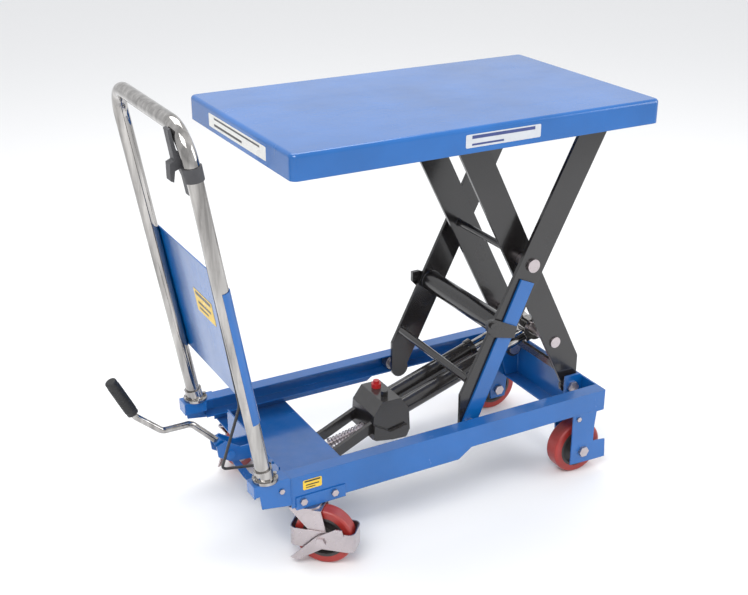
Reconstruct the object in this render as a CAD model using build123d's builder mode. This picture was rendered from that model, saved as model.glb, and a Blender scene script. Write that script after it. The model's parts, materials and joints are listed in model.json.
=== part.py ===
"""Mobile hydraulic scissor lift table, shown raised.

Millimetres. +X runs from the push handle to the fixed wheels, +Z is up, and the origin is on
the floor under the middle of the overall length. The near side is -Y, the far side +Y.
"""
from build123d import *
import os
from math import cos, radians, sin

os.makedirs("parts", exist_ok=True)

# ---- table --------------------------------------------------------------------------------
table_left = -267
table_right = 565
table_half_width = 250
table_top_z = 884
table_skirt = 50
table_corner_r = 14
table_edge_r = 8
sheet = 3

# ---- scissor ------------------------------------------------------------------------------
centre = (336, 528)
pivot_z = 186
upper_z = 859
base_hinge = (488, pivot_z)
base_roller = (184, pivot_z)
table_hinge = (491, upper_z)
table_roller = (181, upper_z)
arm_lean = 63.2
arm_width = 65
arm_thickness = 8
arm_end_r = 21.5
inner_arm_y = 105
outer_arm_y = 146
centre_pin_r = 11
pin_r = 10
axle_r = 8
fit = 0.05
roller_r = 18.5
lift_tube_at = (267, 397)
outer_rod_at = (186, 286)
inner_rod_at = (314, 548)

# ---- hydraulic unit -----------------------------------------------------------------------
ram_angle = 17.89
ram_pin = (441, 305)
ram_anchor = (-144, 100)
ram_y = 29
barrel_r = 19
rod_r = 14
barrel_start = 380
gland_start = 150
gland_face = 137
slot_shift = (-3.8, 6.5)
slot_travel = 15.2
slot_lean = 120.5
slot_r = 12.6
plunger_at = (26, 150)
plunger_lean = 11.9
plunger_cap = -104

# ---- chassis ------------------------------------------------------------------------------
half_width = 210
rail_top = 208
rail_left = -269
rail_right = 519
channel_left = -297
lip_y = 178
deck_z = 139
deck_right = -92
fork_left = 433
fork_right = 499
fork_inner_y = 135

# ---- wheels -------------------------------------------------------------------------------
wheel_r = 62.5
hub_r = 46
wheel_width = 38
fixed_axle = (466, wheel_r)
fixed_wheel_y = 173
swivel = (-225, -194)
trail = 35
caster_heading = -43
guard_length = 138
guard_width = 58

# ---- push handle --------------------------------------------------------------------------
handle_y = 192
handle_r = 15
handle_foot = (-317.6, 214)
handle_top = (-439.3, 938)
handle_bend = 65

# ---- foot pedal ---------------------------------------------------------------------------
pedal_pivot = (-321, 180)
grip_r = 12
grip_end = (-555.15, 401)

SIDES = (("near", -1), ("far", 1))


def side_plane(y):
    """Upright plane at this y: sketch x is +X, sketch y is +Z, extrusion runs towards -Y."""
    return Plane.XZ.offset(-y)


def span(s, inner, outer):
    """Low and high y of a band that lies between two distances from the centre plane."""
    return min(s * inner, s * outer), max(s * inner, s * outer)


def plate(points, band, holes=()):
    """Flat upright plate across a band of y, with round holes given as (x, z, radius)."""
    with BuildPart() as made:
        with BuildSketch(side_plane(band[1])):
            with BuildLine():
                Polyline(*points, close=True)
            make_face()
            for x, z, r in holes:
                with Locations((x, z)):
                    Circle(r, mode=Mode.SUBTRACT)
        extrude(amount=band[1] - band[0])
    return made.part


def bar(at, radius, band, bore=0):
    """Round bar, disc or ring along Y."""
    with BuildPart() as made:
        with BuildSketch(side_plane(band[1])):
            with Locations(at):
                Circle(radius)
                if bore:
                    Circle(bore, mode=Mode.SUBTRACT)
        extrude(amount=band[1] - band[0])
    return made.part


def hexagon(at, radius, band):
    """Bolt head or nut along Y."""
    with BuildPart() as made:
        with BuildSketch(side_plane(band[1])):
            with Locations(at):
                RegularPolygon(radius, 6)
        extrude(amount=band[1] - band[0])
    return made.part


def block(xs, ys, zs):
    """Rectangular block from its three spans."""
    with BuildPart() as made:
        with Locations(((xs[0] + xs[1]) / 2, (ys[0] + ys[1]) / 2, (zs[0] + zs[1]) / 2)):
            Box(xs[1] - xs[0], ys[1] - ys[0], zs[1] - zs[0])
    return made.part


def post(at, radius, zs, bore=0):
    """Round bar, disc or ring along Z."""
    with BuildPart() as made:
        with BuildSketch(Plane.XY.offset(zs[0])):
            with Locations(at):
                Circle(radius)
                if bore:
                    Circle(bore, mode=Mode.SUBTRACT)
        extrude(amount=zs[1] - zs[0])
    return made.part


def slanted(origin, lean, radius, start, end, bore=0):
    """Round bar in an XZ plane, leaning from +X towards +Z, between two stations."""
    axis = Plane(origin=origin, x_dir=(0, 1, 0), z_dir=(cos(radians(lean)), 0, sin(radians(lean))))
    with BuildPart() as made:
        with BuildSketch(axis.offset(start)):
            Circle(radius)
            if bore:
                Circle(bore, mode=Mode.SUBTRACT)
        extrude(amount=end - start)
    return made.part


def node(name, pieces, cuts=()):
    """Unite the pieces, take the cuts away, and write one STEP file."""
    with BuildPart() as made:
        for piece in pieces:
            add(piece)
        for cut in cuts:
            add(cut, mode=Mode.SUBTRACT)
    made.part.label = name
    export_step(made.part, f"parts/{name}.step")
    return made.part


def on_both_sides(make):
    """The same pieces made for the near and the far side."""
    return [piece for _, s in SIDES for piece in make(s)]


# ---- side rails: a web with an inward top lip and a lower lip the rollers run on -----------
for side, s in SIDES:
    web = plate(
        [(rail_left, rail_top), (rail_right, rail_top), (rail_right, 157), (fork_right, 157),
         (fork_right, 160), (159, 160), (127, 138), (rail_left, 138)],
        span(s, half_width - sheet, half_width))
    lips = [block((channel_left, rail_right), span(s, lip_y, half_width - sheet), zs)
            for zs in ((rail_top - sheet, rail_top), (164, 167))]
    node(f"side_rail_{side}", [web, *lips])

# ---- deck plate with an upturned front edge and two short turned-down rear lips -------------
deck_left = rail_left + 5
node("deck_plate", [
    block((deck_left, deck_right), (sheet - half_width, half_width - sheet),
          (deck_z - sheet, deck_z)),
    block((deck_left, deck_left + sheet), (-138, 138), (deck_z, 195)),
    *on_both_sides(lambda s: [block((deck_right - sheet, deck_right), span(s, 60, 138), (126, deck_z))]),
])

# ---- cross beam at the hinge end ----------------------------------------------------------
node("hinge_end_beam", [
    block((515, rail_right), (-133, 133), (101, rail_top)),
    block((479, rail_right), (-133, 133), (101, 105)),
    *on_both_sides(lambda s: [block((515, rail_right), span(s, 133, lip_y), (160, rail_top))]),
])

# ---- hinge brackets and their pins --------------------------------------------------------
node("hinge_brackets", on_both_sides(lambda s: [plate(
    [(467, 216), (509, 216), (515, rail_top), (515, 105), (481, 105), (467, 150)],
    span(s, 124, 130), [(*base_hinge, pin_r)])]))
node("hinge_pins", on_both_sides(lambda s: [
    bar(base_hinge, pin_r, span(s, 100, 133)),
    bar(base_hinge, 15, span(s, 100, 104.7)),
    bar(base_hinge, 15, span(s, 113.3, 124)),
    hexagon(base_hinge, 15, span(s, 130, 136)),
]))

# ---- forks, axles and wheels at the fixed end ---------------------------------------------
def wheel_fork(s):
    outer = plate(
        [(fork_left, 160), (fork_left, 34), (491, 31), (532, 30), (529, 77), (495, 81),
         (495, 123), (fork_right, 160)],
        span(s, half_width - sheet, half_width), [(*fixed_axle, axle_r)])
    inner = plate(
        [(fork_left, 160), (445, 40), (487, 40), (495, 160)],
        span(s, fork_inner_y, fork_inner_y + 5), [(*fixed_axle, axle_r)])
    crown = block((fork_left, fork_right), span(s, fork_inner_y, half_width - sheet), (157, 160))
    return [outer, inner, crown]


def wheel_axle(s):
    return [
        bar(fixed_axle, axle_r, span(s, 130, 215)),
        hexagon(fixed_axle, 13, span(s, 128, fork_inner_y)),
        hexagon(fixed_axle, 13, span(s, half_width, 217)),
    ]


node("wheel_forks", on_both_sides(wheel_fork))
node("fixed_wheel_axles", on_both_sides(wheel_axle))


def tyre(width):
    """Moulded tyre with crowned shoulders, upright at the origin, axis along Y."""
    with BuildPart() as made:
        with BuildSketch(side_plane(width / 2)):
            Circle(wheel_r)
            Circle(hub_r, mode=Mode.SUBTRACT)
        extrude(amount=width)
        fillet(made.edges().filter_by(GeomType.CIRCLE).group_by(SortBy.RADIUS)[-1], 6)
    return made.part


def wheel_core(width, boss):
    """Rim, web with five lightening pockets on each face, and a bored hub."""
    with BuildPart() as made:
        with BuildSketch(side_plane(width / 2)):
            Circle(hub_r)
        extrude(amount=width)
        with BuildSketch(side_plane(width / 2)):
            Circle(hub_r - 6)
            Circle(19, mode=Mode.SUBTRACT)
        extrude(amount=10, mode=Mode.SUBTRACT)
        with BuildSketch(side_plane(10 - width / 2)):
            Circle(hub_r - 6)
            Circle(19, mode=Mode.SUBTRACT)
        extrude(amount=10, mode=Mode.SUBTRACT)
        with BuildSketch(side_plane(boss / 2)):
            Circle(15)
        extrude(amount=boss)
        with BuildSketch(side_plane(boss / 2)):
            Circle(axle_r + fit)
        extrude(amount=boss, mode=Mode.SUBTRACT)
    return made.part


for side, s in SIDES:
    at = Location((fixed_axle[0], s * fixed_wheel_y, wheel_r))
    node(f"fixed_tyre_{side}", [tyre(wheel_width).moved(at)])
    node(f"fixed_core_{side}", [wheel_core(wheel_width, 60).moved(at)])


# ---- swivel casters, drawn about their own swivel axis with the wheel trailing along +X -----
crown_z = (127, 130)
plate_z = 133
wheel_at = (trail, wheel_r)
caster_width = 34
half_guard = guard_width / 2


def caster_fork():
    with BuildPart() as guard:
        with BuildSketch(Plane.XY.offset(42)):
            with Locations((trail, 0)):
                RectangleRounded(guard_length, guard_width, 14)
                RectangleRounded(guard_length - 5, guard_width - 5, 11.5, mode=Mode.SUBTRACT)
        extrude(amount=42)
    cheeks = [plate([(-34, crown_z[0]), (34, crown_z[0]), (48, 66), (48, 54), (22, 54), (22, 66)],
                    span(s, 22, 26), [(*wheel_at, axle_r)]) for _, s in SIDES]
    crown = block((-34, 34), (-26, 26), crown_z)
    race = post((0, 0), 28, (130, 132.7))
    return [guard.part, *cheeks, crown, race,
            bar(wheel_at, axle_r, (-half_guard - 8, half_guard + 3)),
            bar(wheel_at, 13, (-half_guard - 3.7, -half_guard)),
            hexagon(wheel_at, 12, (-half_guard - 12, -half_guard - 7.3)),
            hexagon(wheel_at, 12, (half_guard, half_guard + 7))]


def brake_lever():
    """Stamped lever across the outside of the wheel, hinged on the wheel axle."""
    band = (-half_guard - 7, -half_guard - 4)
    return [plate([(-30, 16), (-16, 12), (42, 50), (84, 84), (80, 98), (66, 98), (24, 72)], band,
                  [(*wheel_at, axle_r + fit)])]


def placed(pieces, side):
    """Swing pieces drawn in caster coordinates into the chassis; the far caster mirrors the near."""
    near = [p.moved(Location((*swivel, 0), (0, 0, caster_heading))) for p in pieces]
    return near if side == "near" else [mirror(p, about=Plane.XZ) for p in near]


for side, _ in SIDES:
    king_hole = post((0, 0), 6.05, (120, 135))
    node(f"caster_fork_{side}", placed(caster_fork(), side), placed([king_hole], side))
    core_at = Location((trail, 0, wheel_r))
    node(f"caster_tyre_{side}", placed([tyre(caster_width).moved(core_at)], side))
    node(f"caster_core_{side}", placed([wheel_core(caster_width, 42).moved(core_at)], side))
    node(f"brake_lever_{side}", placed(brake_lever(), side))


def caster_plate(s):
    at = (swivel[0], s * -swivel[1])
    return [
        block((-260, -149), span(s, 160, half_width + sheet), (plate_z, 136)),
        block((-260, -149), span(s, half_width, half_width + sheet), (plate_z, 161.5)),
        post(at, 6, (120, 136)),
        post(at, 10, (121, 126.7)),
    ]


node("caster_plates", on_both_sides(caster_plate))

# ---- sockets that carry the push handle ----------------------------------------------------
def socket(s):
    return [
        block((-349, -272), span(s, 174, half_width), (rail_top, rail_top + sheet)),
        plate([(-349, rail_top), (-349, 186), (-337, 186), (-333, 156), (rail_left, 146),
               (rail_left, rail_top)], span(s, half_width - sheet, half_width)),
        block((-349, -346), span(s, 174, half_width), (184, rail_top)),
        block((-349, -298), span(s, 174, 177), (184, rail_top)),
    ]


node("socket_blocks", on_both_sides(socket))

# ---- push handle: one bent tube, its foot flanges and the sheet panel between the legs ------
handle_path = [(handle_foot[0], -handle_y, handle_foot[1]), (handle_top[0], -handle_y, handle_top[1]),
               (handle_top[0], handle_y, handle_top[1]), (handle_foot[0], handle_y, handle_foot[1])]
leg = (Vector(*handle_path[1]) - Vector(*handle_path[0])).normalized()
with BuildPart() as handle_tube:
    with BuildLine():
        FilletPolyline(*handle_path, radius=handle_bend)
    with BuildSketch(Plane(origin=handle_path[0], x_dir=(0, 1, 0), z_dir=leg)):
        Circle(handle_r)
        Circle(handle_r - 2, mode=Mode.SUBTRACT)
    sweep()
node("handle_tube", [handle_tube.part])


def leg_point(z):
    """x of the handle leg axis at a height."""
    return handle_foot[0] + (z - handle_foot[1]) * leg.X / leg.Z


def along_leg(s, radius, z_low, z_high, bore=0):
    """Ring or bar wrapped around a handle leg between two heights."""
    with BuildPart() as made:
        with BuildSketch(Plane(origin=(leg_point(z_low), s * handle_y, z_low), x_dir=(0, 1, 0), z_dir=leg)):
            Circle(radius)
            if bore:
                Circle(bore, mode=Mode.SUBTRACT)
        extrude(amount=(z_high - z_low) / leg.Z)
    return made.part


foot_x = leg_point(rail_top + sheet)
node("handle_flanges", on_both_sides(lambda s: [
    post((foot_x, s * handle_y), 26, (211, 217)),
    along_leg(s, 19, 215, 238),
    *[post((foot_x + dx, s * (handle_y + dy)), 4, (217, 222)) for dx, dy in ((-21.5, 0), (21.5, 0), (0, -21.5))],
]), on_both_sides(lambda s: [along_leg(s, handle_r + fit, 200, 250)]))

panel_gap = handle_r + fit
panel_out = panel_gap + 2
with BuildPart() as handle_panel:
    with BuildSketch(Plane(origin=(leg_point(347), 0, 347), x_dir=(0, 1, 0), z_dir=leg)):
        with Locations((0, -panel_gap - 1)):
            Rectangle(2 * handle_y, 2)
        with Locations((-handle_y, 0), (handle_y, 0)):
            Circle(panel_out)
            Circle(panel_gap, mode=Mode.SUBTRACT)
        with Locations((0, 20 - panel_gap)):
            Rectangle(2 * handle_y, 40, mode=Mode.SUBTRACT)
        with Locations((0, 24)):
            Rectangle(2 * handle_y + 80, 40, mode=Mode.SUBTRACT)
    extrude(amount=287)
node("handle_panel", [handle_panel.part])

# ---- release lever on the near leg, and its cable ------------------------------------------
lever_pivot = (-428, 858)
lever_band = (-174, -152)
node("lever_bracket", [
    along_leg(-1, 18, 846, 872, handle_r + fit),
    plate([(-432, 848), (-412, 848), (-416, 870), (-436, 870)], (-176.5, -174.5), [(*lever_pivot, 3)]),
    bar(lever_pivot, 3, (-176.5, -149)),
    bar(lever_pivot, 6, (-151.5, -149)),
])
node("release_lever", [plate(
    [(-456, 938), (-461, 936), (-452, 880), (-461, 876), (-461, 845), (-455, 842), (-452, 862), (-442, 866),
     (-434, 846), (-428, 812), (-418, 812), (-418, 856), (-436, 888), (-448, 900)],
    lever_band, [(*lever_pivot, 3 + fit)])])

with BuildPart() as release_cable:
    with BuildLine() as cable_line:
        FilletPolyline((-421, -164, 806), (-352, -164, 372), (-374, -105, 205), (-266, -100, 184),
                       radius=[40, 12])
    with BuildSketch(Plane(origin=cable_line.line @ 0, z_dir=cable_line.line % 0)):
        Circle(3)
    sweep()
node("release_cable", [release_cable.part])

# ---- scissor arms ---------------------------------------------------------------------------
def scissor_arm(lean, band, low, high, holes):
    """Straight bar through the scissor centre, squared off at its two rounded pivot ends."""
    left = min(low[0], high[0]) - arm_end_r
    right = max(low[0], high[0]) + arm_end_r
    with BuildPart() as made:
        with BuildSketch(side_plane(band[1])):
            with Locations(centre):
                Rectangle(900, arm_width, rotation=lean)
            with Locations(((left + right) / 2, (low[1] + high[1]) / 2)):
                Rectangle(right - left, high[1] - low[1], mode=Mode.INTERSECT)
            with Locations(low, high):
                Circle(arm_end_r)
            for x, z, r in holes:
                with Locations((x, z)):
                    Circle(r, mode=Mode.SUBTRACT)
        extrude(amount=arm_thickness)
    return made.part


inner_face = inner_arm_y + arm_thickness
outer_face = outer_arm_y + arm_thickness
for side, s in SIDES:
    node(f"inner_arm_{side}", [scissor_arm(
        180 - arm_lean, span(s, inner_arm_y, inner_face), base_hinge, table_roller,
        [(*base_hinge, pin_r + fit)])])
    node(f"outer_arm_{side}", [scissor_arm(
        arm_lean, span(s, outer_arm_y, outer_face), base_roller, table_hinge,
        [(*table_hinge, pin_r + fit), (*centre, centre_pin_r + fit)])])

node("inner_arm_pins", on_both_sides(lambda s: [
    bar(centre, centre_pin_r, span(s, inner_face, 160)),
    bar(centre, 16, span(s, inner_face, outer_arm_y - 0.3)),
    bar(centre, 15, span(s, outer_face + 0.3, 160)),
    bar(table_roller, axle_r, span(s, inner_face, 138.4)),
    bar(table_roller, 12, span(s, inner_face, 115.6)),
]))
node("crosshead_shaft", [
    bar(ram_pin, 11, (-inner_arm_y, inner_arm_y)),
    *on_both_sides(lambda s: [bar(ram_pin, 13, span(s, inner_face, 117))]),
])
node("inner_tie_rod", [bar(inner_rod_at, 8, (-inner_arm_y, inner_arm_y))])
node("lift_tube", [bar(lift_tube_at, 24, (-outer_arm_y, outer_arm_y), 19)])
node("outer_tie_rod", [bar(outer_rod_at, 9, (-outer_arm_y, outer_arm_y))])

inner_along = (-cos(radians(arm_lean)), sin(radians(arm_lean)))
inner_across = (sin(radians(arm_lean)), cos(radians(arm_lean)))


def on_inner_arm(t, n):
    """Point at a distance along and across the inner arms from the scissor centre."""
    return (centre[0] + t * inner_along[0] + n * inner_across[0],
            centre[1] + t * inner_along[1] + n * inner_across[1])


node("inner_cross_plate", [plate(
    [on_inner_arm(-316, -33), on_inner_arm(-316, -27), on_inner_arm(-286, -27), on_inner_arm(-286, -33)],
    (-inner_arm_y, inner_arm_y))])
node("base_roller_axles", on_both_sides(lambda s: [
    bar(base_roller, axle_r, span(s, outer_face, 203.4)),
    bar(base_roller, 13, span(s, 159.9, 180.6)),
]))
node("strut_clips", on_both_sides(lambda s: [
    plate([(221, 424), (240, 424), (297, 396), (291, 370), (236, 384), (221, 400)], span(s, 160.5, 163.5)),
    plate([(221, 424), (240, 424), (243, 404), (221, 400)], span(s, outer_face, 160.5)),
    hexagon((231, 413), 7, span(s, 163.5, 168)),
]))

# ---- safety struts: they hang on the roller axles ------------------------------------------
strut_top = (322, 495)
strut_length = (Vector(*strut_top) - Vector(*base_roller)).length
strut_lean = 65.94
for side, s in SIDES:
    with BuildPart() as strut:
        with BuildSketch(side_plane(span(s, 154.6, 159.6)[1])):
            with Locations(Location((*base_roller, 0), strut_lean)):
                with Locations((strut_length / 2, 0)):
                    Rectangle(strut_length, 37)
                Circle(18.5)
                Circle(axle_r + fit, mode=Mode.SUBTRACT)
        extrude(amount=5)
    node(f"safety_strut_{side}", [strut.part])

# ---- rollers --------------------------------------------------------------------------------
node("base_rollers", on_both_sides(lambda s: [
    bar(base_roller, roller_r, span(s, 181, 201), axle_r + fit)]))
node("top_rollers", on_both_sides(lambda s: [
    bar(table_roller, roller_r, span(s, 116, 136), axle_r + fit)]))

# ---- table: folded tray, the roller tracks and the hinge lugs under it ---------------------
table_mid = (table_left + table_right) / 2
with BuildPart() as table_top:
    with BuildSketch(Plane.XY.offset(table_top_z - table_skirt)):
        with Locations((table_mid, 0)):
            RectangleRounded(table_right - table_left, 2 * table_half_width, table_corner_r)
    extrude(amount=table_skirt)
    fillet(table_top.faces().sort_by(Axis.Z)[-1].edges(), table_edge_r)
    with BuildSketch(Plane.XY.offset(table_top_z - table_skirt)):
        with Locations((table_mid, 0)):
            RectangleRounded(table_right - table_left - 2 * sheet, 2 * (table_half_width - sheet),
                             table_corner_r - sheet)
    extrude(amount=table_skirt - sheet, mode=Mode.SUBTRACT)
node("table_top", [table_top.part])

underside = table_top_z - sheet
node("roller_tracks", on_both_sides(lambda s: [
    block((-254, 206), span(s, 115, 142), (underside - sheet, underside)),
    block((-254, 206), span(s, 115, 142), (837.2, 840.2)),
    block((-254, 206), span(s, 139, 142), (837.2, underside)),
]))
node("table_hinges", on_both_sides(lambda s: [
    plate([(466, underside), (516, underside), (512, 848), (500, 837), (482, 837), (470, 848)],
          span(s, 156, 161)),
    bar(table_hinge, pin_r, span(s, 141, 156)),
    bar(table_hinge, 14, span(s, 141, outer_arm_y - 0.4)),
    bar(table_hinge, 14, span(s, outer_face + 0.4, 156)),
    hexagon(table_hinge, 12, span(s, 161, 167)),
]))

# ---- hydraulic unit -------------------------------------------------------------------------
def on_ram(y):
    return (ram_pin[0], y, ram_pin[1])


def ram_bar(y, radius, start, end, bore=0):
    """Bar or ring along the cylinder axis; stations are distances back from the ram pin."""
    return slanted(on_ram(y), ram_angle, radius, -start, -end, bore)


node("cylinder_barrels", [
    *[ram_bar(y, barrel_r, barrel_start, gland_start) for y in (-ram_y, ram_y)],
    *[ram_bar(y, barrel_r + 3, gland_start, gland_face) for y in (-ram_y, ram_y)],
], [ram_bar(y, rod_r + fit, barrel_start - 8, gland_face - 5) for y in (-ram_y, ram_y)])

block_outline = [(2, 140), (12, 133), (54, 126), (88, 124), (98, 142), (95, 196), (74, 226), (28, 226),
                 (6, 196)]
plunger_origin = (plunger_at[0], 0, plunger_at[1])
pump_solid = plate(block_outline, (-50, 50))
node("pump_block", [
    pump_solid,
    plate([(4, 176), (2, 142), (50, 134), (86, 132), (92, 146), (86, 160), (44, 152)], (-58, -50)),
    post((46, -24), 8, (226, 240)),
    slanted((94, 0, 176), 0, 9, -2, 10),
], [
    *[ram_bar(y, barrel_r, barrel_start, 200) for y in (-ram_y, ram_y)],
    slanted(plunger_origin, plunger_lean, 13.5, -60, 12),
    slanted(plunger_origin, plunger_lean, 7 + fit, 10, 46),
])
node("valve_cap", [post((51, 22), 11, (226, 236)), post((51, 22), 7, (236, 243))])

yoke_points = [(-148, 111.5), (10, 180.2), (10, 155.2), (-139, 88.5)]
node("yoke_bars", on_both_sides(lambda s: [
    plate(yoke_points, span(s, 34, 44)),
    bar(ram_anchor, 15, span(s, 34, 44)),
]), [pump_solid, *on_both_sides(lambda s: [bar(ram_anchor, axle_r + fit, span(s, 30, 50))])])
node("cylinder_anchor", on_both_sides(lambda s: [
    plate([(-164, 136), (-124, 136), (-130, 92), (-138, 84), (-150, 84), (-158, 92)], span(s, 48, 55)),
    bar(ram_anchor, axle_r, span(s, 30, 48)),
    bar(ram_anchor, 13, span(s, 28, 33.6)),
]))

# the slot lets the rods keep a straight line while the pin swings with the arms
with BuildPart() as rod_heads:
    for y in (-ram_y, ram_y):
        with BuildSketch(side_plane(y + 13)):
            with Locations(Location((*ram_pin, 0), ram_angle)):
                with Locations(Location((slot_shift[0], slot_shift[1], 0), slot_lean)):
                    SlotCenterToCenter(slot_travel, 2 * (slot_r + 10))
                with Locations((-22, 0)):
                    Rectangle(20, 2 * rod_r)
                with Locations(Location((slot_shift[0], slot_shift[1], 0), slot_lean)):
                    SlotCenterToCenter(slot_travel, 2 * slot_r, mode=Mode.SUBTRACT)
        extrude(amount=26)
node("piston_rods", [rod_heads.part, *[ram_bar(y, rod_r, 190, 30) for y in (-ram_y, ram_y)]])

node("pump_plunger", [
    slanted(plunger_origin, plunger_lean, 7, plunger_cap, 20),
    slanted(plunger_origin, plunger_lean, 12, plunger_cap - 4, plunger_cap),
    slanted(plunger_origin, plunger_lean, 5, -292, plunger_cap - 4),
])
spring_plane = Plane(origin=plunger_origin, x_dir=(0, 1, 0),
                     z_dir=(cos(radians(plunger_lean)), 0, sin(radians(plunger_lean)))).offset(plunger_cap)
spring_length = 92
with BuildPart() as spring:
    with BuildLine() as coil:
        Helix(pitch=8, height=spring_length - 4, radius=10)
    with BuildSketch(Plane(origin=coil.line @ 0, z_dir=coil.line % 0)):
        Circle(1.4)
    sweep(is_frenet=True)
node("return_spring", [spring.part.moved(Location(spring_plane) * Location((0, 0, 2)))])

# ---- foot pedal -----------------------------------------------------------------------------
node("pedal_bracket", [
    *on_both_sides(lambda s: [plate(
        [(-351, 205), (-330, 213), (-298, 192), (deck_left, 192), (deck_left, 158), (-319, 162), (-348, 180)],
        span(s, 17, 21))]),
    bar(pedal_pivot, 7, (-21, 21)),
    *on_both_sides(lambda s: [hexagon(pedal_pivot, 11, span(s, 21, 26))]),
])
node("pedal_lever", [
    plate([(-352, 206), (-338, 216), (-308, 188), (-309, 170), (-333, 172)], (-12, 12)),
    plate([(-326, 176), (-312, 176), (-274, 112), (-262, 100), (-262, 80), (-274, 84), (-288, 104)], (-6, 6)),
    bar(pedal_pivot, 14, (-16.5, 16.5)),
], [bar(pedal_pivot, 7 + fit, (-20, 20))])

pedal_points = [(-345, 0, 211), (-396, 0, 264), (-458, 0, 264), (-512, 0, 312), (-528, 0, 345.9)]
with BuildPart() as pedal_rod:
    with BuildLine() as pedal_line:
        FilletPolyline(*pedal_points, radius=20)
    with BuildSketch(Plane(origin=pedal_line.line @ 0, z_dir=pedal_line.line % 0)):
        Circle(7)
    sweep()
pedal_lever_cut = plate([(-352, 206), (-338, 216), (-308, 188), (-309, 170), (-333, 172)], (-12, 12))
node("pedal_rod", [pedal_rod.part], [pedal_lever_cut])

grip_axis = (Vector(grip_end[0], 0, grip_end[1]) - Vector(-512, 0, 312)).normalized()
grip_start = Vector(grip_end[0], 0, grip_end[1]) - grip_axis * 90
with BuildPart() as grip:
    with BuildSketch(Plane(origin=grip_start, x_dir=(0, 1, 0), z_dir=grip_axis)):
        Circle(grip_r)
    extrude(amount=90)
    fillet(grip.faces().sort_by(Axis.Z)[-1].edges(), 3)
node("pedal_grip", [grip.part], [pedal_rod.part])

# ---- bolts that hold the chassis together ---------------------------------------------------
node("chassis_bolts", on_both_sides(lambda s: [
    *[hexagon((x, 150), 8, span(s, half_width + sheet, half_width + 8)) for x in (-244.5, -174.5)],
    hexagon((448, 150), 6, span(s, half_width, half_width + 4)),
    *[hexagon((x, 186), 6, span(s, half_width, half_width + 4)) for x in (-290,)],
]))
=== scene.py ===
"""Scissor lift table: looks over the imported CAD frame. Metres, same frame as the CAD."""
import json
import math

import bmesh
import bpy
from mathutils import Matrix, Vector


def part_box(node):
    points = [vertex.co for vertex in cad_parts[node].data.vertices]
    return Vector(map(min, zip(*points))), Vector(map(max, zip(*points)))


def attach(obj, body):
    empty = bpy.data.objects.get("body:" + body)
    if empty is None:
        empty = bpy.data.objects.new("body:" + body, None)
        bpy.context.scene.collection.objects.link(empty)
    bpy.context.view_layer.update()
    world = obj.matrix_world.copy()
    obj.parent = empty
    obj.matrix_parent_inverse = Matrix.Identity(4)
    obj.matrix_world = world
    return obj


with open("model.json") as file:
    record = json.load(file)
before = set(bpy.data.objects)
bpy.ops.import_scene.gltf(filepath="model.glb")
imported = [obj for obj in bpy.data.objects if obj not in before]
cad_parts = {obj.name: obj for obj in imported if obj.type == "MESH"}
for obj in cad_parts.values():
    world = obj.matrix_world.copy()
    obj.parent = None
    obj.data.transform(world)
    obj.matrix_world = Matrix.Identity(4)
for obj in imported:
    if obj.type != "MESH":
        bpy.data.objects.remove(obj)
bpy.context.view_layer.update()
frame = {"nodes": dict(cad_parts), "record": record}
NODES = frame["nodes"]


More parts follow.
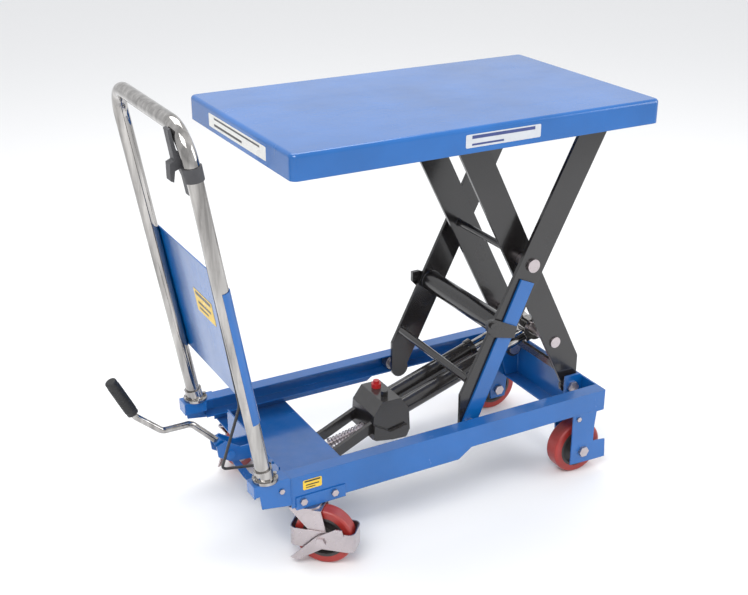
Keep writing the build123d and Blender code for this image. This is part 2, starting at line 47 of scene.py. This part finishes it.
# ---- material kit -------------------------------------------------------------------------
class Shader:
    """Small helper round one material's node tree."""

    def __init__(self, name):
        self.mat = bpy.data.materials.new(name)
        self.mat.use_nodes = True
        self.tree = self.mat.node_tree
        self.bsdf = self.tree.nodes["Principled BSDF"]
        coords = self.tree.nodes.new("ShaderNodeTexCoord")
        self.coords = coords.outputs["Object"]

    def new(self, kind, **values):
        made = self.tree.nodes.new(kind)
        for key, value in values.items():
            if hasattr(made, key):
                setattr(made, key, value)
            else:
                made.inputs[key].default_value = value
        return made

    def link(self, a, b):
        self.tree.links.new(a, b)

    def set(self, **values):
        for key, value in values.items():
            self.bsdf.inputs[key.replace("_", " ")].default_value = value

    def noise(self, scale, detail=4.0, rough=0.55, stretch=(1, 1, 1)):
        mapping = self.new("ShaderNodeMapping")
        mapping.inputs["Scale"].default_value = stretch
        self.link(self.coords, mapping.inputs["Vector"])
        made = self.new("ShaderNodeTexNoise")
        made.inputs["Scale"].default_value = scale
        made.inputs["Detail"].default_value = detail
        made.inputs["Roughness"].default_value = rough
        self.link(mapping.outputs[0], made.inputs["Vector"])
        return made.outputs["Fac"]

    def spread(self, source, low, high, start=0.3, end=0.7):
        """Maps a mask to a range of plain values."""
        made = self.new("ShaderNodeMapRange")
        made.inputs["From Min"].default_value = start
        made.inputs["From Max"].default_value = end
        made.inputs["To Min"].default_value = low
        made.inputs["To Max"].default_value = high
        self.link(source, made.inputs["Value"])
        return made.outputs["Result"]

    def math(self, operation, a, b):
        made = self.new("ShaderNodeMath")
        made.operation = operation
        for socket, value in zip(made.inputs, (a, b)):
            if isinstance(value, (int, float)):
                socket.default_value = value
            else:
                self.link(value, socket)
        return made.outputs[0]

    def mix(self, factor, a, b):
        made = self.new("ShaderNodeMix")
        made.data_type = "RGBA"
        if isinstance(factor, (int, float)):
            made.inputs[0].default_value = factor
        else:
            self.link(factor, made.inputs[0])
        for socket, value in ((made.inputs[6], a), (made.inputs[7], b)):
            if isinstance(value, tuple):
                socket.default_value = (*value, 1)
            else:
                self.link(value, socket)
        return made.outputs[2]

    def edges(self, radius):
        """Rounded-edge normal, and a mask that is white on sharp edges."""
        bevel = self.new("ShaderNodeBevel")
        bevel.samples = 6
        bevel.inputs["Radius"].default_value = radius
        geometry = self.new("ShaderNodeNewGeometry")
        dot = self.new("ShaderNodeVectorMath")
        dot.operation = "DOT_PRODUCT"
        self.link(bevel.outputs[0], dot.inputs[0])
        self.link(geometry.outputs["Normal"], dot.inputs[1])
        return bevel.outputs[0], self.spread(dot.outputs["Value"], 1.0, 0.0, 0.72, 0.97)

    def bump(self, height, strength, distance, normal=None):
        made = self.new("ShaderNodeBump")
        made.inputs["Strength"].default_value = strength
        made.inputs["Distance"].default_value = distance
        self.link(height, made.inputs["Height"])
        if normal is not None:
            self.link(normal, made.inputs["Normal"])
        self.link(made.outputs[0], self.bsdf.inputs["Normal"])

    def dust(self, colour, amount):
        """Fine grey dust that gathers low down and on faces that look up."""
        position = self.new("ShaderNodeSeparateXYZ")
        self.link(self.coords, position.inputs[0])
        low = self.spread(position.outputs["Z"], 1.0, 0.0, 0.0, 0.35)
        geometry = self.new("ShaderNodeNewGeometry")
        facing = self.new("ShaderNodeSeparateXYZ")
        self.link(geometry.outputs["Normal"], facing.inputs[0])
        up = self.spread(facing.outputs["Z"], 0.15, 1.0, 0.2, 1.0)
        speckle = self.spread(self.noise(38, 8, 0.7), 0.25, 1.0, 0.35, 0.7)
        mask = self.math("MULTIPLY", self.math("MULTIPLY", low, up), speckle)
        return self.mix(self.math("MULTIPLY", mask, amount), colour, (0.30, 0.28, 0.26))


def painted(name, colour, worn, rough=(0.2, 0.32), peel=0.14, dust=0.35):
    """Powder coat: orange peel, slight colour drift, scuffed dull patches and rubbed edges."""
    s = Shader(name)
    drift = s.noise(5, 3)
    deep = tuple(c * 0.82 for c in colour)
    light = tuple(min(1, c * 1.1 + 0.004) for c in colour)
    base = s.mix(s.spread(drift, 0, 1), deep, light)
    normal, edge = s.edges(0.0016)
    chips = s.spread(s.noise(70, 8, 0.75), 0, 1, 0.52, 0.66)
    rub = s.math("MULTIPLY", edge, chips)
    base = s.mix(s.math("MULTIPLY", rub, 0.55), base, worn)
    scratches = s.spread(s.noise(24, 10, 0.8, (1, 14, 5)), 0, 1, 0.66, 0.74)
    base = s.mix(s.math("MULTIPLY", scratches, 0.16), base, light)
    base = s.dust(base, dust)
    s.link(base, s.bsdf.inputs["Base Color"])
    smear = s.spread(s.noise(9, 6, 0.65, (1, 2, 0.6)), rough[0], rough[1])
    s.link(s.math("ADD", smear, s.math("MULTIPLY", rub, 0.3)), s.bsdf.inputs["Roughness"])
    s.set(Coat_Weight=0.4, Coat_Roughness=0.1, Specular_IOR_Level=0.5)
    s.bump(s.noise(420, 2, 0.5), peel, 0.0006, normal)
    return s.mat


def metal(name, colour, rough, tarnish=(0.25, 0.22, 0.2), stain=0.25, bump=0.12, dust=0.3,
          streak=(14, (1, 1, 1), 0.8)):
    """Bare or plated metal with fine grain, cloudy plating and light tarnish."""
    s = Shader(name)
    scale, stretch, depth = streak
    cloud = s.spread(s.noise(scale, 5, 0.6, stretch), 0, 1)
    base = s.mix(cloud, tuple(c * depth for c in colour), colour)
    spots = s.spread(s.noise(55, 8, 0.72), 0, 1, 0.56, 0.72)
    base = s.mix(s.math("MULTIPLY", spots, stain), base, tarnish)
    base = s.dust(base, dust)
    s.link(base, s.bsdf.inputs["Base Color"])
    fine = s.noise(180, 3, 0.6)
    s.link(s.math("ADD", s.spread(fine, rough[0], rough[1]), s.math("MULTIPLY", spots, 0.15)),
           s.bsdf.inputs["Roughness"])
    s.set(Metallic=1.0)
    normal, _ = s.edges(0.0008)
    s.bump(fine, bump, 0.0003, normal)
    return s.mat


def moulded(name, colour, rough, grain=260, bump=0.25, coat=0.0, dust=0.35, depth=0.0005):
    """Rubber, plastic or cast polyurethane with a fine moulded grain."""
    s = Shader(name)
    drift = s.spread(s.noise(11, 5, 0.6), 0, 1)
    light = tuple(min(1, c * 1.15 + 0.003) for c in colour)
    base = s.mix(drift, tuple(c * 0.72 for c in colour), light)
    scuff = s.spread(s.noise(48, 9, 0.75), 0, 1, 0.55, 0.72)
    scuffed = tuple(min(1, c * 1.5 + 0.03) for c in colour)
    base = s.mix(s.math("MULTIPLY", scuff, 0.2), base, scuffed)
    base = s.dust(base, dust)
    s.link(base, s.bsdf.inputs["Base Color"])
    s.link(s.math("ADD", s.spread(s.noise(30, 6), rough[0], rough[1]), s.math("MULTIPLY", scuff, 0.12)),
           s.bsdf.inputs["Roughness"])
    s.set(Coat_Weight=coat, Coat_Roughness=0.2)
    normal, _ = s.edges(0.001)
    s.bump(s.noise(grain, 3, 0.6), bump, depth, normal)
    return s.mat


MATERIALS = {
    "blue_paint": painted("blue_paint_look", (0.0, 0.105, 0.37), (0.02, 0.05, 0.11), (0.16, 0.28), dust=0.15),
    "black_paint": painted("black_paint_look", (0.0105, 0.009, 0.009), (0.09, 0.085, 0.08), (0.16, 0.3), 0.1),
    "zinc": metal("zinc_look", (0.58, 0.52, 0.53), (0.24, 0.42), stain=0.22),
    "chrome": metal("chrome_look", (0.56, 0.54, 0.52), (0.04, 0.11), stain=0.25, bump=0.03, tarnish=(0.16, 0.14, 0.12),
                    streak=(60, (1, 1, 0.05), 0.4)),
    "grey_plastic": moulded("grey_plastic_look", (0.05, 0.05, 0.055), (0.4, 0.55)),
    "cable_black": moulded("cable_look", (0.012, 0.012, 0.013), (0.35, 0.5)),
    "grip_rubber": moulded("grip_look", (0.012, 0.012, 0.013), (0.45, 0.62), 180, 0.5),
    "roller_steel": metal("roller_steel_look", (0.42, 0.42, 0.43), (0.28, 0.46), stain=0.4),
    "red_cap": moulded("red_cap_look", (0.5, 0.012, 0.012), (0.25, 0.35), coat=0.3),
    "tyre_red": moulded("tyre_look", (0.36, 0.022, 0.016), (0.3, 0.46), 150, 0.3, coat=0.15, dust=0.25),
    "core_dark": moulded("core_look", (0.035, 0.03, 0.03), (0.4, 0.6), 120, 0.6, dust=0.5, depth=0.001),
}
for part in frame["record"]["subparts"]:
    look = MATERIALS[part["material_slot"]]
    mesh_object = NODES[part["node"]]
    if not mesh_object.material_slots:
        mesh_object.data.materials.append(look)
    for place in mesh_object.material_slots:
        place.material = look


# ---- added pieces -------------------------------------------------------------------------
def mesh_piece(name, bm, material, body):
    mesh = bpy.data.meshes.new(name)
    bm.to_mesh(mesh)
    bm.free()
    piece = bpy.data.objects.new(name, mesh)
    bpy.context.scene.collection.objects.link(piece)
    mesh.materials.append(material)
    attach(piece, body)
    return piece


def rounded(width, height, radius, steps=6):
    """Corner points of a rounded rectangle about the origin."""
    points = []
    for cx, cy, start in ((1, 1, 0), (-1, 1, 90), (-1, -1, 180), (1, -1, 270)):
        for k in range(steps + 1):
            a = math.radians(start + 90 * k / steps)
            points.append((cx * (width / 2 - radius) + radius * math.cos(a),
                           cy * (height / 2 - radius) + radius * math.sin(a)))
    return points


def label(name, middle, across, up, width, height, body, colours, thickness=0.0003):
    """Thin rounded film sticker, its outer face away from the surface."""
    across = Vector(across).normalized()
    up = Vector(up).normalized()
    out = across.cross(up)
    bm = bmesh.new()
    base = [bm.verts.new(Vector(middle) + across * x + up * y) for x, y in rounded(width, height, 0.003)]
    top = [bm.verts.new(v.co + out * thickness) for v in base]
    bm.faces.new(top)
    for k in range(len(base)):
        j = (k + 1) % len(base)
        bm.faces.new((base[k], base[j], top[j], top[k]))
    s = Shader(name + "_film")
    ground, band = colours
    grade = s.noise(60, 4)
    s.link(s.mix(s.spread(grade, 0, 1), tuple(c * 0.9 for c in ground), ground), s.bsdf.inputs["Base Color"])
    s.link(s.spread(s.noise(25, 4), 0.25, 0.4), s.bsdf.inputs["Roughness"])
    s.bump(grade, 0.08, 0.0002)
    film = mesh_piece(name, bm, s.mat, body)
    bm = bmesh.new()
    lift = out * (thickness + 0.0001)
    for y0, y1, x0, x1 in band[1]:
        quad = [bm.verts.new(Vector(middle) + lift + across * (x * width) + up * (y * height))
                for x, y in ((x0, y0), (x1, y0), (x1, y1), (x0, y1))]
        bm.faces.new(quad)
    s = Shader(name + "_ink")
    s.link(s.mix(s.spread(s.noise(90, 4), 0, 1), tuple(c * 0.85 for c in band[0]), band[0]),
           s.bsdf.inputs["Base Color"])
    s.link(s.spread(s.noise(25, 4), 0.25, 0.4), s.bsdf.inputs["Roughness"])
    mesh_piece(name + "_marks", bm, s.mat, body)
    return film


PLAIN = ((0.75, 0.75, 0.72), ((0.03, 0.03, 0.035), [(0.2, 0.34, -0.4, 0.4), (-0.3, -0.12, -0.4, 0.1)]))
AMBER = ((0.78, 0.52, 0.04), ((0.02, 0.02, 0.02), [(0.26, 0.42, -0.42, 0.42), (-0.1, 0.02, -0.35, 0.35),
                                                 (-0.34, -0.24, -0.35, 0.15)]))
SILVER = ((0.55, 0.57, 0.6), ((0.04, 0.06, 0.2), [(0.15, 0.4, -0.42, 0.42), (-0.35, -0.2, -0.42, 0.0)]))

end_face, near_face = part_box("table_top")[0][:2]
proud = 0.0001
label("side_sticker", (0.179, near_face - proud, 0.858), (1, 0, 0), (0, 0, 1), 0.172, 0.026,
      "table", SILVER)
label("end_sticker", (end_face - proud, 0.0, 0.857), (0, -1, 0), (0, 0, 1), 0.28, 0.027,
      "table", PLAIN)
rail_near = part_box("side_rail_near")[0][1]
label("rail_sticker", (-0.2225, rail_near - proud, 0.1845), (1, 0, 0), (0, 0, 1), 0.042, 0.022,
      "base", AMBER)
panel_lean = math.atan(0.168)
panel_up = (-math.sin(panel_lean), 0, math.cos(panel_lean))
panel_mid = (-0.3543, -0.009, 0.522)
label("panel_sticker", panel_mid, (0, -1, 0), panel_up, 0.098, 0.052, "base", AMBER)


def ring_stack(name, start, axis, radius, pitch, count, material, body):
    """Moulded ribs round a straight grip, turned as one profile."""
    axis = Vector(axis).normalized()
    side = axis.orthogonal().normalized()
    other = axis.cross(side)
    profile = []
    for k in range(count):
        for shift, grow in ((0.0, 0.0), (0.18, 0.0006), (0.5, 0.0009), (0.82, 0.0006), (1.0, 0.0)):
            profile.append(((k + shift) * pitch, radius + grow))
    bm = bmesh.new()
    turns = 40
    rings = []
    for along, r in profile:
        ring = []
        for t in range(turns):
            a = 2 * math.pi * t / turns
            spoke = side * math.cos(a) + other * math.sin(a)
            ring.append(bm.verts.new(Vector(start) + axis * along + spoke * r))
        rings.append(ring)
    for low, high in zip(rings, rings[1:]):
        for t in range(turns):
            u = (t + 1) % turns
            bm.faces.new((low[t], low[u], high[u], high[t]))
    for face in bm.faces:
        face.smooth = True
    return mesh_piece(name, bm, material, body)


grip_end = Vector((-0.55515, 0, 0.401))
grip_axis = (grip_end - Vector((-0.512, 0, 0.312))).normalized()
ring_stack("grip_ribs", grip_end - grip_axis * 0.082, grip_axis, 0.012, 0.005, 14, MATERIALS["grip_rubber"], "pedal")


def weld(name, points, radius=0.0022):
    """Rippled weld bead laid along a joint line."""
    bm = bmesh.new()
    turns = 8
    rings = []
    for a, b in zip(points, points[1:]):
        a, b = Vector(a), Vector(b)
        axis = (b - a).normalized()
        side = axis.orthogonal().normalized()
        other = axis.cross(side)
        steps = max(4, int((b - a).length / 0.0016))
        for k in range(steps + 1):
            r = radius * (0.82 + 0.18 * abs(math.sin(k * 1.1)))
            middle = a + (b - a) * (k / steps)
            angles = [t * math.tau / turns for t in range(turns)]
            rings.append([bm.verts.new(middle + (side * math.cos(t) + other * math.sin(t)) * r)
                          for t in angles])
    for low, high in zip(rings, rings[1:]):
        for t in range(turns):
            u = (t + 1) % turns
            bm.faces.new((low[t], low[u], high[u], high[t]))
    for face in bm.faces:
        face.smooth = True
    return mesh_piece(name, bm, MATERIALS["blue_paint"], "base")


for side, s in (("near", -1), ("far", 1)):
    weld(f"bracket_weld_{side}", [(0.515, s * 0.1235, 0.107), (0.515, s * 0.1235, 0.206)])
    weld(f"socket_weld_{side}", [(-0.269, s * 0.2102, 0.15), (-0.269, s * 0.2102, 0.205)], 0.0014)


def collar_ring(name, centre, radius, tube, body):
    """Weld ring round a cross tube where it meets an arm."""
    bm = bmesh.new()
    rings = []
    stations, turns = 72, 8
    for k in range(stations):
        a = math.tau * k / stations
        fat = tube * (0.85 + 0.15 * math.sin(k * 2.2))
        mid = Vector((math.cos(a), 0, math.sin(a)))
        angles = [t * math.tau / turns for t in range(turns)]
        rings.append([bm.verts.new(Vector(centre) + mid * (radius + fat * math.cos(t))
                                   + Vector((0, fat * math.sin(t), 0))) for t in angles])
    for k in range(stations):
        low, high = rings[k], rings[(k + 1) % stations]
        for t in range(turns):
            u = (t + 1) % turns
            bm.faces.new((low[t], low[u], high[u], high[t]))
    for face in bm.faces:
        face.smooth = True
    return mesh_piece(name, bm, MATERIALS["black_paint"], body)


for side, s in (("near", -1), ("far", 1)):
    collar_ring(f"lift_tube_weld_{side}", (0.267, s * 0.1455, 0.397), 0.0245, 0.0024, "outer_arms")
    collar_ring(f"outer_rod_weld_{side}", (0.186, s * 0.1455, 0.286), 0.0095, 0.0018, "outer_arms")
    collar_ring(f"inner_rod_weld_{side}", (0.314, s * 0.1045, 0.548), 0.0085, 0.0018, "inner_arms")

# ---- floor, light, camera -----------------------------------------------------------------
floor_bm = bmesh.new()
bmesh.ops.create_grid(floor_bm, x_segments=1, y_segments=1, size=30)
floor_mesh = bpy.data.meshes.new("floor")
floor_bm.to_mesh(floor_mesh)
floor_bm.free()
floor = bpy.data.objects.new("floor", floor_mesh)
bpy.context.scene.collection.objects.link(floor)
ground = Shader("floor_look")
ground.set(Base_Color=(0.88, 0.88, 0.88, 1), Roughness=0.8)
floor_mesh.materials.append(ground.mat)

world = bpy.data.worlds.new("studio")
bpy.context.scene.world = world
world.use_nodes = True
sky = world.node_tree.nodes["Background"].inputs
sky["Color"].default_value = (0.97, 0.98, 1.0, 1)
sky["Strength"].default_value = 0.9


def softbox(name, place, target, size, power, colour=(1, 1, 1)):
    light = bpy.data.lights.new(name, "AREA")
    light.shape = "RECTANGLE"
    light.size, light.size_y = size
    light.energy = power
    light.color = colour
    lamp = bpy.data.objects.new(name, light)
    lamp.location = place
    lamp.rotation_euler = (Vector(target) - Vector(place)).to_track_quat("-Z", "Y").to_euler()
    bpy.context.scene.collection.objects.link(lamp)


softbox("key", (-1.6, -1.8, 2.9), (0.05, 0, 0.4), (1.8, 1.4), 60)
softbox("fill", (2.6, -1.6, 1.6), (0.1, 0, 0.4), (1.6, 1.6), 28, (0.95, 0.97, 1))
softbox("top", (0.2, 1.0, 3.2), (0.1, 0, 0.3), (2.4, 1.6), 45)

camera_data = bpy.data.cameras.new("camera")
camera_data.sensor_fit = "HORIZONTAL"
camera_data.sensor_width = 36
camera_data.lens = 57.33
look_down = 0.4100
look_right = 0.5004
camera = bpy.data.objects.new("camera", camera_data)
camera.location = (-1.0958, -2.06497, 1.48053)
camera.rotation_euler = (math.pi / 2 - look_down, 0.0, -look_right)
bpy.context.scene.collection.objects.link(camera)
bpy.context.scene.camera = camera
bpy.context.scene.view_settings.view_transform = "Standard"
